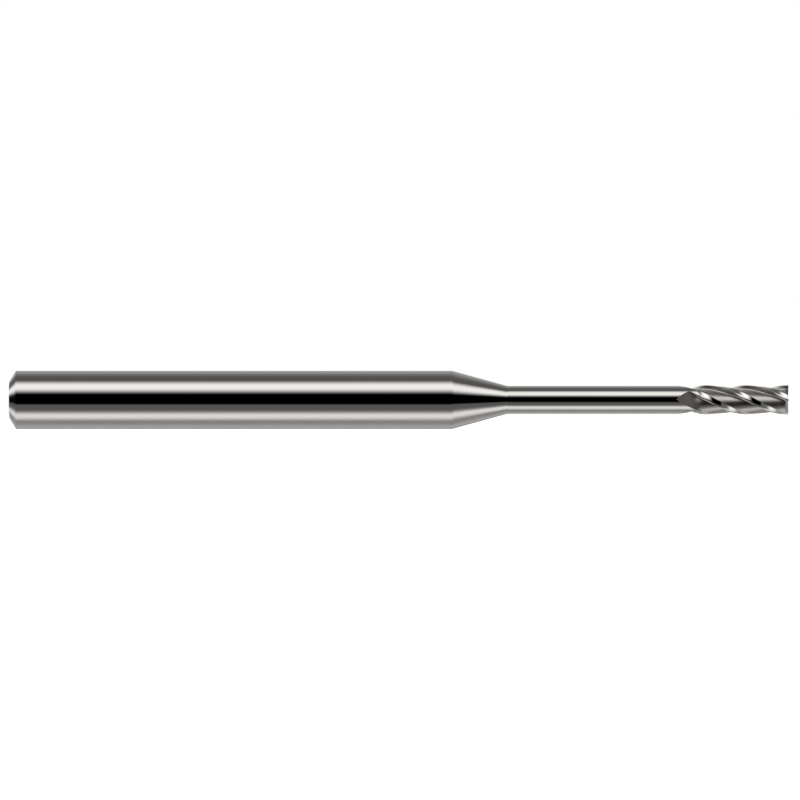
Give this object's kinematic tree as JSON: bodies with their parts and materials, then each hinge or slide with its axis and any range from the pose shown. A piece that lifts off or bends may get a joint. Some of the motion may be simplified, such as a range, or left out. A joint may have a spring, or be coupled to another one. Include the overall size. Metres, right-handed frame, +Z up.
{
  "type": "long-reach square end mill",
  "caption": "Solid carbide square end mill with a plain straight shank, a taper down to a long relieved neck, and a short helical cutting head.",
  "frame": {"origin": "centre of the shank's flat back face, on the tool's axis", "axes": "+X runs along the tool's axis from the back face to the cutting end; +Z is up as the tool lies on its side; +Y completes the right-handed frame"},
  "size_m": [0.0635, 0.0048, 0.0048],
  "materials": {
    "polished_carbide": "fine ground and polished",
    "ground_carbide": "ground"
  },
  "bodies": {
    "root": {"shank_back_chamfer": "ground_carbide", "shank": "polished_carbide", "taper": "polished_carbide", "neck": "polished_carbide", "flute_runout": "ground_carbide", "web": "ground_carbide", "tooth_1": "ground_carbide", "tooth_2": "ground_carbide", "tooth_3": "ground_carbide", "tooth_4": "ground_carbide"}
  },
  "joints": []
}
